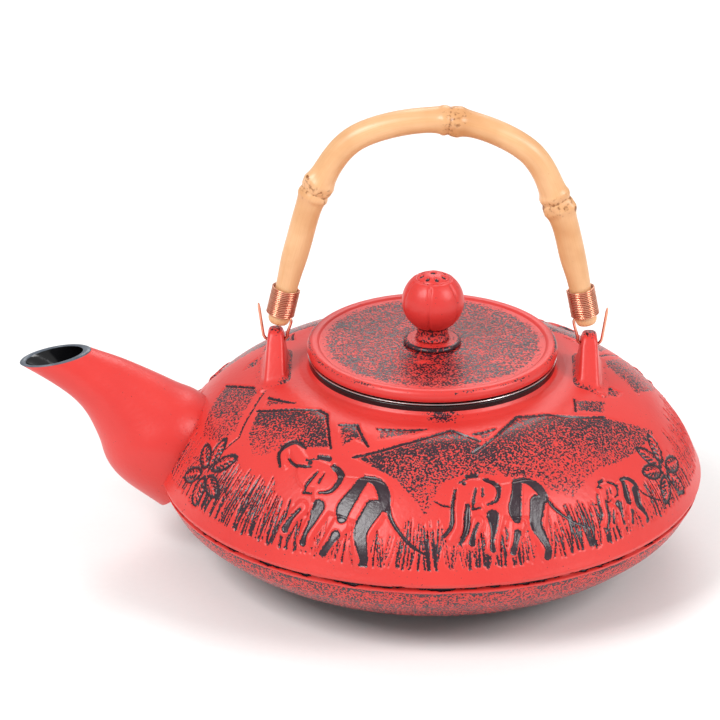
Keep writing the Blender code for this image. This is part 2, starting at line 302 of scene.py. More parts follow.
def rubbed_enamel(name, red, deep_red):
    """Red enamel rubbed through to the iron where the painted value says."""
    material, tree, shader, place = new_material(name)
    grain = add(tree, "ShaderNodeTexNoise", {}, {"Vector": place, "Scale": STIPPLE_SCALE, "Detail": 2.0,
                                                 "Roughness": 0.5}).outputs["Fac"]
    patch = add(tree, "ShaderNodeTexNoise", {}, {"Vector": place, "Scale": PATCH_SCALE, "Detail": 3.0,
                                                 "Roughness": 0.6}).outputs["Fac"]
    tone = add(tree, "ShaderNodeTexNoise", {}, {"Vector": place, "Scale": TONE_SCALE,
                                                "Detail": 2.0}).outputs["Fac"]
    skin = add(tree, "ShaderNodeTexNoise", {}, {"Vector": place, "Scale": SKIN_SCALE,
                                                "Detail": 2.0}).outputs["Fac"]
    painted = add(tree, "ShaderNodeAttribute", {"attribute_name": "iron"}).outputs["Fac"]
    weigh = {"operation": "MULTIPLY_ADD"}
    both = add(tree, "ShaderNodeMath", weigh, {0: patch, 1: 0.2, 2: grain}).outputs[0]
    share = add(tree, "ShaderNodeMath", weigh, {0: painted, 1: 0.62, 2: both}).outputs[0]
    fleck = add(tree, "ShaderNodeMapRange", {}, {"Value": share, "From Min": BARE_FROM,
                                                 "From Max": BARE_FULL}).outputs[0]
    enamel = add(tree, "ShaderNodeMix", RGBA, {0: tone, 6: linear(red), 7: linear(deep_red)}).outputs[2]
    # Bare iron: near black, with lighter purple-grey patches that are painted sheen.
    bare = add(tree, "ShaderNodeMix", RGBA, {0: patch, 6: linear("180C13"), 7: linear("3B2530")}).outputs[2]
    colour = add(tree, "ShaderNodeMix", RGBA, {0: fleck, 6: enamel, 7: bare}).outputs[2]
    gloss = add(tree, "ShaderNodeMapRange", {}, {"Value": fleck, "To Min": 0.38, "To Max": 0.27}).outputs[0]
    pits = add(tree, "ShaderNodeMath", weigh, {0: fleck, 1: -0.8, 2: skin}).outputs[0]
    bump = add(tree, "ShaderNodeBump", {}, {"Height": pits, "Strength": 0.45, "Distance": 0.0002}).outputs[0]
    connect(tree, shader, {"Base Color": colour, "Roughness": gloss, "Normal": bump, "IOR": ENAMEL_IOR})
    return material


pot_enamel = rubbed_enamel("red_enamel_rubbed_over_cast_iron", "DC3A33", "CB2C29")
lid_enamel = rubbed_enamel("red_enamel_rubbed_on_lid", "D93933", "C82D2A")
print("rubbed enamel on pot and lid")

# %% [markdown]
# Black glaze: the inside, the mouth collar and the underside of the lid carry the black glass enamel that
# keeps tea off the iron. It is nearly black and smooth, so it gives crisp reflections; it pulled into
# ripples about 6 mm across as it melted. The spout's lip is the same enamel, worn to a cloudy grey.

# %% Black enamel and the worn lip
black_enamel, tree, shader, place = new_material("black_glass_enamel")
ripple = add(tree, "ShaderNodeTexNoise", {}, {"Vector": place, "Scale": 160.0, "Detail": 2.0}).outputs["Fac"]
tint = add(tree, "ShaderNodeMix", RGBA, {0: ripple, 6: linear("0B0B0C"), 7: linear("17171A")}).outputs[2]
bump = add(tree, "ShaderNodeBump", {}, {"Height": ripple, "Strength": 0.25, "Distance": 0.0003}).outputs[0]
connect(tree, shader, {"Base Color": tint, "Normal": bump, "Roughness": 0.16, "IOR": ENAMEL_IOR})

lip_enamel, tree, shader, place = new_material("worn_grey_enamel_on_spout_lip")
cloud = add(tree, "ShaderNodeTexNoise", {}, {"Vector": place, "Scale": 320.0, "Detail": 3.0}).outputs["Fac"]
tint = add(tree, "ShaderNodeMix", RGBA, {0: cloud, 6: linear("30353D"), 7: linear("6A737F")}).outputs[2]
connect(tree, shader, {"Base Color": tint, "Roughness": 0.3, "IOR": ENAMEL_IOR})
print("black enamel and worn lip")

# %% [markdown]
# Metals: the infuser is polished stainless sheet, so its gloss drifts only a little, over about 1 mm. The
# wire is bare drawn copper. A metal keeps the default IOR, since its colour sets the reflection.

# %% Steel and copper
metals = []
for name, scale, dark, light, dull in (("stainless_steel_spun", 900.0, "C9CACB", "E6E6E4", 0.3),
                                       ("copper_wire_drawn", 260.0, "DA9070", "F0B096", 0.26)):
    metal, tree, shader, place = new_material(name)
    cloud = add(tree, "ShaderNodeTexNoise", {}, {"Vector": place, "Scale": scale,
                                                 "Detail": 2.0}).outputs["Fac"]
    tint = add(tree, "ShaderNodeMix", RGBA, {0: cloud, 6: linear(dark), 7: linear(light)}).outputs[2]
    haze = add(tree, "ShaderNodeMapRange", {}, {"Value": cloud, "To Min": 0.16, "To Max": dull}).outputs[0]
    connect(tree, shader, {"Base Color": tint, "Roughness": haze, "Metallic": 1.0})
    metals.append(metal)
steel, copper = metals
print("metals", steel.name, copper.name)

# %% [markdown]
# Bamboo: a thin cane, heat-bent and varnished. The skin is straw-tan with long fine fibres along the cane,
# browner at the joints. The painted vector `grain` runs along the cane, so the fibres follow the bend. The
# stains are about 18 mm long and the specks at the joints about 1.3 mm.

# %% Varnished bamboo
bamboo, tree, shader, place = new_material("bamboo_cane_varnished")
along = add(tree, "ShaderNodeAttribute", {"attribute_name": "grain"}).outputs["Vector"]
fibre = add(tree, "ShaderNodeTexNoise", {}, {"Vector": along, "Scale": 3.0, "Detail": 4.0}).outputs["Fac"]
stain = add(tree, "ShaderNodeTexNoise", {}, {"Vector": place, "Scale": 55.0, "Detail": 3.0}).outputs["Fac"]
speck = add(tree, "ShaderNodeTexNoise", {}, {"Vector": place, "Scale": 750.0, "Detail": 2.0}).outputs["Fac"]
joint = add(tree, "ShaderNodeAttribute", {"attribute_name": "iron"}).outputs["Fac"]
straw = add(tree, "ShaderNodeMix", RGBA, {0: fibre, 6: linear("E9BA8A"), 7: linear("DCA472")}).outputs[2]
warm = add(tree, "ShaderNodeMapRange", {}, {"Value": stain, "From Min": 0.42, "From Max": 0.75,
                                            "To Max": 0.75}).outputs[0]
tan = add(tree, "ShaderNodeMix", RGBA, {0: warm, 6: straw, 7: linear("C5854E")}).outputs[2]
dots = add(tree, "ShaderNodeMath", {"operation": "MULTIPLY_ADD"}, {0: joint, 1: 0.42, 2: speck}).outputs[0]
brown = add(tree, "ShaderNodeMapRange", {}, {"Value": dots, "From Min": 0.78, "From Max": 1.0}).outputs[0]
skin = add(tree, "ShaderNodeMix", RGBA, {0: brown, 6: tan, 7: linear("8A5528")}).outputs[2]
bump = add(tree, "ShaderNodeBump", {}, {"Height": fibre, "Strength": 0.2, "Distance": 0.0002}).outputs[0]
connect(tree, shader, {"Base Color": skin, "Normal": bump, "Roughness": 0.33, "IOR": VARNISH_IOR})
print("materials", [m.name for m in bpy.data.materials])

# %% [markdown]
# ## The pot's outline
# The casting is one turned form: a domed shoulder, a sharp rim with a groove below it, and a shallow bowl
# on a flat foot. Distance `s` runs down the outside from the neck. Rows are close together on the shoulder,
# where the relief is, and far apart under the rim.

# %% Outline of the shell
SHOULDER = ((45.5, 69.0), (58.0, 66.4), (75.0, 56.9), (87.3, 43.3), (93.0, 31.6))
GROOVE = ((92.5, 30.4), (91.1, 29.6), (92.2, 28.7))
BOWL = ((91.7, 27.5), (85.8, 19.3), (69.2, 8.6), (40.5, 1.0))
SKIN = 1.8
FINE = 0.37
COARSE = 1.6
CAVITY = ((40.0, 65.9), (50.0, 64.7), (60.0, 61.2), (73.6, 53.4), (84.5, 41.0), (88.6, 31.0),
          (83.0, 21.8), (67.0, 12.8), (40.0, 5.4), (0.05, 4.4))
NECK = ((42.2, 71.0), (42.9, 69.9))
shoulder = smooth(SHOULDER, 40)
RIM_S = arc_length(shoulder)[-1]
FOOT_EDGE = ((38.5, 0.0), (36.5, 0.0))
FINE_PAST_RIM = 6.0
outline = np.vstack([NECK, shoulder, smooth(GROOVE, 8), smooth(BOWL, 16), FOOT_EDGE])
neck_length = arc_length(outline)[2]
total = arc_length(outline)[-1]
fine_rows = np.arange(0.0, neck_length + RIM_S + FINE_PAST_RIM, FINE)
coarse_rows = np.arange(fine_rows[-1] + COARSE, total - 1.0, COARSE)
row_at = np.concatenate([fine_rows, coarse_rows, [total]])
shell_rows = at_distance(outline, row_at)
row_s = row_at - neck_length
shell_normal = outward(shell_rows)
shell_normal[-1] = (0.0, -1.0)
print("rows", len(row_s), "rim at s =", round(float(RIM_S), 1), "mm")


def shell_radius(z):
    """The shoulder's radius at a height, in mm."""
    return np.interp(z, shoulder[::-1, 1], shoulder[::-1, 0])


def shell_height(radius):
    """The shoulder's height at a radius, in mm. Inside the mouth it is the neck's height."""
    return np.interp(radius, shoulder[:, 0], shoulder[:, 1])


# %% [markdown]
# ## The relief
# The same scene is modelled on the front and on the back, so it is drawn once on half the circle and
# repeated. `ink` is what is cut in and left dark; `raised` stands up; `iron` is the share of bare iron.
# Azimuth is in degrees, with the spout at 180 and the front at -90. A motif is drawn in millimetres about
# its own anchor, x to the right and y up the slope, with a half width at each point.

# %% Drawing tools
COLUMNS_HALF = 720
AZ_START = -192.0
AZ_STEP = 180.0 / COLUMNS_HALF
SOFT = 0.5
PANEL_DEPTH = 0.32
PANEL_SLOPE = 4.0
PANEL_FADE = 1.2
PANEL_LINE = 0.5
rng = np.random.default_rng(7)
az = AZ_START + AZ_STEP * np.arange(COLUMNS_HALF)
AZ, SS = np.meshgrid(az, row_s)
RR = np.repeat(shell_rows[:, :1], COLUMNS_HALF, axis=1)
ink = np.zeros_like(AZ)
raised = np.zeros_like(AZ)
sunk = np.zeros_like(AZ)
iron = np.zeros_like(AZ)


def local(at):
    """Coordinates in mm about an anchor (azimuth, s)."""
    turn = (AZ - at[0] + 90.0) % 180.0 - 90.0
    return np.radians(turn) * RR, at[1] - SS


def cover(x, y, points, scale=1.0, soft=SOFT):
    """How far each grid point is inside a stroke of (x, y, half width), from 0 to 1."""
    points = np.array(points, float) * scale
    if len(points) > 2:
        points = smooth(points, 5)
    reach = np.abs(points[:, 2]).max() + soft
    low = points[:, :2].min(axis=0) - reach
    high = points[:, :2].max(axis=0) + reach
    near = (x > low[0]) & (x < high[0]) & (y > low[1]) & (y < high[1])
    px, py = x[near], y[near]
    best = np.full(px.shape, -9.0)
    for a, b in zip(points[:-1], points[1:]):
        d = b[:2] - a[:2]
        t = np.clip(((px - a[0]) * d[0] + (py - a[1]) * d[1]) / max(d @ d, 1e-6), 0, 1)
        gap = np.hypot(px - a[0] - d[0] * t, py - a[1] - d[1] * t)
        best = np.maximum(best, a[2] + (b[2] - a[2]) * t - gap)
    out = np.zeros_like(x)
    out[near] = np.clip(best / soft + 0.5, 0, 1)
    return out


def soft_line(gap, half, soft=SOFT):
    """1 inside a line of some half width, where gap is the distance from its middle, 0 outside."""
    return np.clip((half - gap) / soft + 0.5, 0, 1)


def edge_distance(points, closed):
    """Distance in mm from each grid point to a line of (azimuth, s)."""
    best = np.full(AZ.shape, 1e9)
    ends = list(zip(points[:-1], points[1:])) + ([(points[-1], points[0])] if closed else [])
    for a, b in ends:
        x, y = local(a)
        dx = np.radians(b[0] - a[0]) * RR
        dy = a[1] - b[1]
        t = np.clip((x * dx + y * dy) / np.maximum(dx * dx + dy * dy, 1e-6), 0, 1)
        best = np.minimum(best, np.hypot(x - dx * t, y - dy * t))
    return best


def inside(points):
    """True where a grid point lies inside a polygon of (azimuth, s)."""
    middle = sum(p[0] for p in points) / len(points)
    turn = (AZ - middle + 90.0) % 180.0 - 90.0 + middle
    hit = np.zeros(AZ.shape, bool)
    for a, b in zip(points, points[1:] + points[:1]):
        if a[1] == b[1]:
            continue
        crosses = (a[1] > SS) != (b[1] > SS)
        at = (b[0] - a[0]) * (SS - a[1]) / (b[1] - a[1]) + a[0]
        hit ^= crosses & (turn < at)
    return hit


def panel(points, dark_count, near, far, reach):
    """A sunk stippled field. Its first dark_count points make its dark top edge."""
    within = inside(points)
    border = edge_distance(points, True)
    top = edge_distance(points[:dark_count], False)
    level = near + (far - near) * ramp(top, 0, reach)
    at_least(iron, np.where(within, level * ramp(border, 0, PANEL_FADE), 0))
    at_least(sunk, np.where(within, PANEL_DEPTH * np.exp(-top / PANEL_SLOPE), 0))
    at_least(ink, soft_line(top, PANEL_LINE) * 0.95)


step_at_rim = math.radians(AZ_STEP) * float(RR.max())
print("relief grid of", AZ.shape, "points,", round(step_at_rim, 2), "mm apart at the rim")

# %% [markdown]
# Hills and rocks come first. Each is a sunk field with a crisp upper edge, where the rubbing cloth could
# not reach, so the iron shows thickly there and thins out downhill.

# %% Hills
LEFT_ROCK = [(-181.0, 27.0), (-174.0, 20.0), (-167.0, 14.0), (-162.0, 19.0), (-153.0, 30.0), (-156.0, 38.0),
             (-164.0, 41.0), (-171.0, 36.0)]
TALL_ROCK = [(-156.0, 20.0), (-146.0, 12.0), (-137.0, 6.0), (-132.0, 6.5), (-126.0, 13.0), (-121.0, 20.0),
             (-133.0, 26.0), (-141.0, 35.0), (-148.0, 30.0)]
SMALL_ROCK = [(-159.0, 14.0), (-148.0, 9.0), (-155.5, 18.0)]
WEDGE = [(-124.0, 9.5), (-118.0, 7.0), (-110.0, 16.0), (-115.0, 14.5), (-118.0, 19.5)]
FAR_ROCK = [(-110.0, 7.0), (-92.0, 4.5), (-95.0, 7.5), (-108.0, 13.0)]
NEAR_HILL = [(-113.0, 21.5), (-100.0, 13.5), (-90.0, 8.5), (-82.5, 5.0), (-73.5, 12.0), (-71.0, 28.0),
             (-79.0, 26.0), (-86.0, 29.0), (-88.5, 35.0), (-91.0, 43.0), (-95.0, 35.0), (-99.5, 28.5),
             (-105.5, 25.5)]
FAR_HILL = [(-77.0, 17.0), (-70.0, 12.5), (-62.5, 7.5), (-54.0, 3.0), (-43.5, 7.0), (-35.0, 13.5),
            (-25.0, 20.0), (-17.0, 31.0), (-13.0, 37.0), (-24.0, 37.0), (-34.0, 36.5), (-43.0, 35.0),
            (-47.5, 36.5), (-54.5, 41.5), (-61.0, 35.5), (-64.0, 31.5), (-70.0, 29.0)]
MARKER = [(-32.0, 12.0), (-25.5, 8.0), (-16.0, 17.0), (-24.0, 19.5)]
NOTCH = [(-75.0, 8.5), (-66.0, 7.0), (-71.5, 13.5)]
LAST_ROCK = [(-14.5, 15.5), (-12.5, 13.0), (-6.5, 17.0), (-5.5, 21.0), (-10.5, 20.0)]

# Each with its count of dark edge points, its iron share at the top and far below, and mm between the two.
for field in ((LEFT_ROCK, 3, 0.6, 0.44, 18.0), (TALL_ROCK, 6, 0.68, 0.38, 18.0),
              (SMALL_ROCK, 2, 0.6, 0.4, 6.0), (WEDGE, 3, 0.7, 0.45, 7.0), (FAR_ROCK, 2, 0.62, 0.5, 8.0),
              (NEAR_HILL, 5, 0.66, 0.42, 24.0), (FAR_HILL, 7, 0.64, 0.42, 26.0), (NOTCH, 2, 0.6, 0.45, 6.0),
              (MARKER, 2, 0.66, 0.55, 8.0), (LAST_ROCK, 3, 0.6, 0.45, 6.0)):
    panel(*field)
RIDGE = [(-165.0, 12.5), (-157.5, 21.0), (-151.0, 31.0), (-152.0, 37.0)]
at_least(ink, soft_line(edge_distance(RIDGE, False), 0.45) * 0.8)
print("share of the half with iron showing", round(float((iron > 0.2).mean()), 2))

# %% [markdown]
# Elephants: three walk in line, the last one small. Each body is a low rounded form with dark cuts where
# the limbs, the ear and the belly fold. The leader lifts its trunk, and the others hang theirs down.

# %% Elephants
BODY = (((-10, 6, 6.5), (3, 5.5, 8)), ((-19, 11, 5.5), (-14, 11, 5)),
        ((-12, 0, 3.2), (-14.5, -7, 2.4), (-16, -12, 2.4)),
        ((-19, -1, 2.2), (-22, -6, 1.7), (-24, -10, 1.7)),
        ((5, 2, 5), (4, -7, 3), (5.5, -17, 2.4)), ((-4, -4, 3), (-6.5, -9, 2), (-8.5, -14, 1.8)))
TRUNK_UP = ((-22, 13, 2.4), (-26, 16, 2.2), (-30, 18, 1.8), (-32, 14.5, 1.5), (-30, 11, 1.2))
TRUNK_DOWN = ((-22, 10, 2.6), (-25, 4, 2.2), (-27, -3, 1.8), (-31, -8, 1.4))
FOLDS = (((-22, 15, 0.5), (-18.5, 16.8, 0.5)), ((-18, 18, 0.9), (-14.5, 18.3, 1.1)),
         ((-20.6, 14.3, 0.7), (-20.2, 14.5, 0.7)),
         ((-11.5, 15.5, 1.2), (-8.5, 13.5, 1.3), (-8, 10.5, 1.0), (-10, 6.5, 0.7), (-14, 5, 0.4)),
         ((-16.5, 12, 0.4), (-18.5, 8, 0.6), (-20, 4.2, 0.4)), ((-14, 12, 0.3), (-15, 8.5, 0.5)),
         ((-20, 4, 0.5), (-17, 4.4, 0.4)),
         ((-19.5, -2, 0.6), (-21.8, -5.5, 0.8), (-23.5, -9.5, 1.3)),
         ((-13, 0.6, 2.4), (-14, -4.8, 1.3), (-15.5, -9, 0.8), (-16, -12.4, 1.2)),
         ((-5, -7.5, 1.6), (-6.3, -10.3, 1.1), (-8.3, -14.2, 1.3)),
         ((5.8, 3, 3.2), (3.2, -4.8, 2.5), (4.6, -10.3, 1.9), (6, -14.5, 1.4), (5.5, -17.8, 1.7)),
         ((0, 12.6, 1.8), (-1.8, 7.3, 2.1), (-4, 1.8, 2.6), (-4, -1.8, 1.8)),
         ((0, 13.6, 1.2), (4.6, 12.6, 1.7), (8, 8.5, 2.0), (9.6, 3.8, 1.6)),
         ((9.2, 7.3, 0.8), (12, 0.6, 0.7), (16, -4.2, 0.6), (21, -8.5, 0.5), (27, -11.8, 0.4)))
TRUNK_UP_CUTS = (((-24.4, 19.5, 0.4), (-28.2, 20.3, 0.9), (-32, 18, 1.3), (-34, 14, 1.0), (-32, 10, 0.6)),
                 ((-29.3, 13.6, 0.5), (-26.4, 12.2, 0.6), (-22.4, 12.4, 0.5), (-19.5, 13.2, 0.4)))
TRUNK_DOWN_CUTS = (((-21.5, 5.5, 0.8), (-23, 0.5, 1.4), (-24.6, -4.5, 1.2), (-28, -9.5, 0.6)),
                   ((-24.5, 12, 0.5), (-27.5, 5, 0.7), (-29.5, -2, 0.8), (-33.5, -6.5, 0.6)),
                   ((-28.5, 5.4, 0.4), (-31.0, 5.8, 0.35), (-33.5, 7.4, 0.3)))
CLEAR_ROUND = 1.0
BODY_HEIGHT = 0.8

for place_at, size, trunk, trunk_cuts in (((-107.5, 42.5), 1.0, TRUNK_UP, TRUNK_UP_CUTS),
                                          ((-67.5, 42.0), 0.86, TRUNK_DOWN, TRUNK_DOWN_CUTS),
                                          ((-38.5, 48.0), 0.52, TRUNK_DOWN, TRUNK_DOWN_CUTS)):
    x, y = local(place_at)
    body = np.zeros_like(AZ)
    clear = np.zeros_like(AZ)
    for form in BODY + (trunk,):
        at_least(body, cover(x, y, form, size, 1.2))
        grown = [(p[0], p[1], p[2] + CLEAR_ROUND) for p in form]
        at_least(clear, cover(x, y, grown, size, 1.0))
    iron *= 1.0 - 0.85 * clear
    ink *= 1.0 - clear
    sunk *= 1.0 - clear
    at_least(raised, BODY_HEIGHT * body)
    for fold in FOLDS + trunk_cuts:
        at_least(ink, cover(x, y, fold, size))
print("elephants drawn, dark share", round(float((ink > 0.5).mean()), 3))

# %% [markdown]
# Leaves: a spray of oval leaves stands at each end of the scene, each leaf raised, with a dark outline and
# cut veins either side of its midrib.

# %% Leaves
LEAF_HEIGHT = 0.5
LEAF_VEINS = 4
VEIN_HALF = 0.36


def leaf(at, heading, start, length, width):
    """One leaf that starts some mm from the anchor, heading in degrees clockwise from upslope."""
    x, y = local(at)
    turn = math.radians(heading)
    along = x * math.sin(turn) + y * math.cos(turn) - start
    across = x * math.cos(turn) - y * math.sin(turn)
    half = length / 2
    oval = 1.0 - ((along - half) / half) ** 2 - np.abs(across / (width / 2)) ** 1.6
    near = (np.abs(along - half) < length) & (np.abs(across) < width)
    gap = oval * width / 4
    grown = np.where(near, ramp(gap, -1.1, 0.5), 0)
    iron[:] = iron * (1 - grown)
    ink[:] = ink * (1 - grown)
    at_least(raised, LEAF_HEIGHT * np.where(near, ramp(gap, 0, 0.8), 0))
    at_least(ink, np.where(near, soft_line(np.abs(gap + 0.4), 0.5, 0.35), 0) * 0.95)
    for k in range(LEAF_VEINS):
        p = start + length * (0.18 + 0.19 * k)
        reach = 0.42 * width * math.sqrt(max(0.1, 1 - ((p - start + 1 - half) / half) ** 2))
        for hand in (-1, 1):
            tip = (p + 1.3, hand * reach * 0.9)
            root = (p, hand * 0.6)
            ends = [(math.sin(turn) * q + math.cos(turn) * w,
                     math.cos(turn) * q - math.sin(turn) * w, VEIN_HALF) for q, w in (root, tip)]
            at_least(ink, cover(x, y, ends, 1.0, 0.4))


SPRAY = ((-14, 2.6, 9.5, 4.2), (40, 3.4, 9.0, 4.2), (112, 3.0, 8.5, 4.2), (168, 2.6, 9.0, 4.6),
         (238, 3.6, 8.5, 4.2), (300, 3.0, 8.5, 4.2))
for at, lean in (((-152.5, 47.0), 0.0), ((-22.0, 47.0), -12.0)):
    for heading, start, length, width in SPRAY:
        leaf(at, heading + lean, start, length, width)
print("leaves", 2 * len(SPRAY))

# %% [markdown]
# Grass: upright cuts fill the ground between the animals, denser and darker in a few clumps. They stop on
# a plain border above the rim. Cuts are about 0.6 mm wide and a little over 1 mm apart.

# %% Grass
GRASS_TOP = 44.0
GRASS_FOOT = 58.8
TALL_GRASS_END = -128.0
TALL_GRASS_MORE = 5.0
SPARSE_SHORTER = 2.0
CLUMPS = ((-150.0, -118.0), (-97.0, -88.0), (-82.0, -70.0), (-61.0, -46.0), (-33.0, -14.0))
taken = np.clip(raised * 4.0, 0, 1)
grass = np.zeros_like(AZ)
spot = AZ_START
while spot < AZ_START + 180.0:
    in_clump = any(a < spot < b for a, b in CLUMPS)
    top = GRASS_TOP + rng.uniform(-2.5, 3.5) + (0.0 if in_clump else SPARSE_SHORTER)
    top -= TALL_GRASS_MORE if spot < TALL_GRASS_END else 0.0
    foot = GRASS_FOOT - rng.uniform(0.0, 1.5)
    lean = rng.uniform(-1.2, 1.6)
    width = rng.uniform(0.2, 0.5 if in_clump else 0.36)
    x, y = local((spot, (top + foot) / 2))
    half = (foot - top) / 2
    blade = cover(x, y, ((-lean, -half, width), (0.1, 0, width), (lean * 0.6, half, width * 0.5)))
    strength = rng.uniform(0.75, 1.0) if in_clump else rng.uniform(0.45, 0.9)
    at_least(grass, blade * strength)
    spot += rng.uniform(0.55, 0.85)
at_least(ink, grass * (1.0 - taken))
print("grass share", round(float((grass > 0.3).mean()), 3))

# %% [markdown]
# The borders: a smooth band, then an uneven dark cord in the groove under the rim, a thin second line, and
# the stippled bowl. The neck has a dark patch at the front, just under the lid; the ears' feet hold dark
# iron. The neck is worn dark where the lid's rim rubs, and the ears' feet hold dark iron.

# %% Borders, bowl and heights
CORD_BELOW_RIM = 2.6
CORD_HALF = 0.72
SECOND_BELOW_RIM = 5.7
SECOND_HALF = 0.28
BOWL_BELOW_RIM = 6.4
CUT_DEPTH = 0.55
IRON_EVERYWHERE = 0.1


def wavy(period, amount, seed):
    """A slow irregular wave round the half circle, in mm."""
    phase = np.random.default_rng(seed).uniform(0, 6.28, 5)
    turns = np.array([1, 2, 3, 5, 8]) * 2 * round(90 / period)
    waves = [np.sin(np.radians(az) * t + p) / (k + 1) for k, (t, p) in enumerate(zip(turns, phase))]
    return amount * sum(waves)


cord_at = RIM_S + CORD_BELOW_RIM + wavy(9, 0.3, 3)
cord_half = CORD_HALF + wavy(5, 0.2, 4)
at_least(ink, soft_line(np.abs(SS - cord_at), cord_half, 0.4) * 0.9)
second_at = RIM_S + SECOND_BELOW_RIM + wavy(7, 0.12, 5)
at_least(ink, soft_line(np.abs(SS - second_at), SECOND_HALF, 0.35) * 0.7)
border = (SS > GRASS_FOOT + 0.4) & (SS < RIM_S + 0.6)
ink[border] *= 0.15
iron[border] = 0.12
bowl = SS > RIM_S + BOWL_BELOW_RIM
iron[bowl] = np.clip(0.4 + 0.006 * (SS[bowl] - RIM_S), 0, 0.7)
# A dark patch on the neck at the front, just under the lid's edge.
neck_dark_patch = np.clip(1 - (SS + 1.0) / 4.0, 0, 1) * bell(AZ + 85.0, 9.0)
at_least(iron, neck_dark_patch * 0.62)
at_least(iron, ink)
at_least(iron, IRON_EVERYWHERE)
height = raised - CUT_DEPTH * ink - sunk
height -= np.clip((SS - RIM_S + 6.0) / 4.0, 0, 1) * np.maximum(height, 0.0)
height[-1] = 0.0
height[SS < -1.0] = 0.0
np.minimum(height, BODY_HEIGHT, out=height)
print("relief from", round(float(height.min()), 2), "to", round(float(height.max()), 2), "mm")

# %% [markdown]
# ## The shell
# The casting is shown as four quarter shells, a few millimetres thick, so that each keeps its fine relief
# when it is exported. Their joins lie in quiet parts of the pattern and share the same points.

# %% Build the shell
QUARTERS = ("pot_shell_spout_front", "pot_shell_front_right", "pot_shell_right_back", "pot_shell_back_spout")
SEAM = -178.0
INNER_ROWS = 22
shift = round((SEAM - AZ_START) / AZ_STEP)
full_height, full_iron = (np.roll(np.concatenate([half, half], axis=1), -shift, axis=1)
                          for half in (height, iron))
inner_rows = at_distance(outline, np.linspace(total, 0.0, INNER_ROWS))
inner_rows = inner_rows + outward(inner_rows) * SKIN
inner_rows[0] = (36.5, SKIN)
inner_rows[-1] = (42.2 - SKIN, 69.2)
inner_rows[:, 1] = np.clip(inner_rows[:, 1], SKIN, None)
quarter = COLUMNS_HALF // 2
inner_r, inner_z = wrapped(inner_rows, quarter + 1)
shell_parts = []
for k, name in enumerate(QUARTERS):
    steps_round = np.arange(quarter + 1) + k * quarter
    columns = steps_round % (2 * COLUMNS_HALF)
    lift = full_height[:, columns]
    radius = np.vstack([shell_rows[:, :1] + shell_normal[:, :1] * lift, inner_r])
    level = np.vstack([shell_rows[:, 1:] + shell_normal[:, 1:] * lift, inner_z])
    verts = around(radius, level, np.radians(SEAM + AZ_STEP * steps_round))
    rows = len(radius)
    faces = grid_faces(rows, quarter + 1, True, False).tolist()
    first = [i * (quarter + 1) for i in range(rows)]
    faces += [first[::-1], [i + quarter for i in first]]
    paint = np.vstack([full_iron[:, columns], np.zeros_like(inner_r)])
    part = publish(name, verts, faces, "pot", [pot_enamel], sharp=60.0, iron=paint)
    shell_parts.append(part)

# %% [markdown]
# The lining is the black-glazed inside, with the square collar that the infuser's rim sits on. Under it is
# the flat foot. It fills the wall behind the quarter shells.

# %% Lining, collar and foot
FOOT_ROWS = 5
collar = [(42.2, 71.0), (42.2, 72.6), (41.8, 73.0), (38.2, 73.0), (37.8, 72.6), (37.8, 66.2)]
wall = smooth(CAVITY, 8)
foot = dense([(20.0, 0.0), (36.4, 0.0)], 6.0)
backing = dense(inner_rows[1:-1] + (-0.15, 0.0), 6.0)
lining_rows = np.vstack([dense(collar, 0.6), wall, [(0.05, 0.0)], foot, [(36.4, SKIN + 0.1)], backing,
                         [(40.3, 69.2), (42.1, 70.2)]])
foot_row = len(dense(collar, 0.6)) + len(wall)
lining_material = [1 if foot_row <= i <= foot_row + FOOT_ROWS else 0 for i in range(len(lining_rows))]
pot_lining = turned("pot_lining_and_foot", lining_rows, 192, "pot",
                    [black_enamel, pot_enamel], row_material=lining_material)

# %% [markdown]
# ## Spout
# The spout grows out of the shoulder, narrows and leans outwards to a mouth cut nearly level. It is cast
# with the pot, so its root spreads in a fillet. The lip is worn to grey, and the bore is black.

# %% Spout
SPOUT = ((-72.0, 25.0, 14.5, 9.0), (-93.0, 41.0, 20.2, 16.4), (-102.0, 50.8, 15.8, 12.4),
         (-111.6, 59.8, 11.3, 8.4), (-124.0, 67.5, 8.3, 6.6), (-147.0, 80.8, 8.0, 6.5))
SPOUT_MOUTH = (-129.4, 71.0)
SPOUT_TILT = math.radians(11.6)
SPOUT_SIDES = 144
SPOUT_ROWS = 150
FILLET = 3.0
EASING = 160
LIP_ROUND = 0.45
BORE_ROWS = 70
BORE_EASE = 0.4
FAR = 99.0


def spout_point(u, angle, which, fillet=0.0):
    """Points in mm on the spout's outside (which is 2) or bore (3), with u from 0 to 1 along its centre
    line. Angle 0 is the upper side, 90 degrees is +Y."""
    curve = smooth(SPOUT, 24)
    steps = np.linspace(0, 1, len(curve))
    slope = np.gradient(curve[:, :2], axis=0)
    slope /= np.linalg.norm(slope, axis=1)[:, None]
    x, z, reach = (np.interp(u, steps, curve[:, k]) for k in (0, 1, which))
    slope_x, slope_z = (np.interp(u, steps, slope[:, k]) for k in (0, 1))
    reach = reach + fillet
    x = x + slope_z * reach * np.cos(angle)
    z = z - slope_x * reach * np.cos(angle)
    return np.stack([x, reach * np.sin(angle), z], axis=-1)


def past_mouth(points):
    """Distance in mm beyond the mouth's plane, positive outside."""
    x, z = points[..., 0] - SPOUT_MOUTH[0], points[..., 2] - SPOUT_MOUTH[1]
    return x * -math.sin(SPOUT_TILT) + z * math.cos(SPOUT_TILT)


def mouth_at(angle, which):
    """The u at which each side of the spout reaches the mouth, by halving."""
    low = np.full(angle.shape, 0.3)
    high = np.ones(angle.shape)
    for _ in range(30):
        middle = (low + high) / 2
        beyond = past_mouth(spout_point(middle, angle, which)) > -LIP_ROUND
        high = np.where(beyond, middle, high)
        low = np.where(beyond, low, middle)
    return low


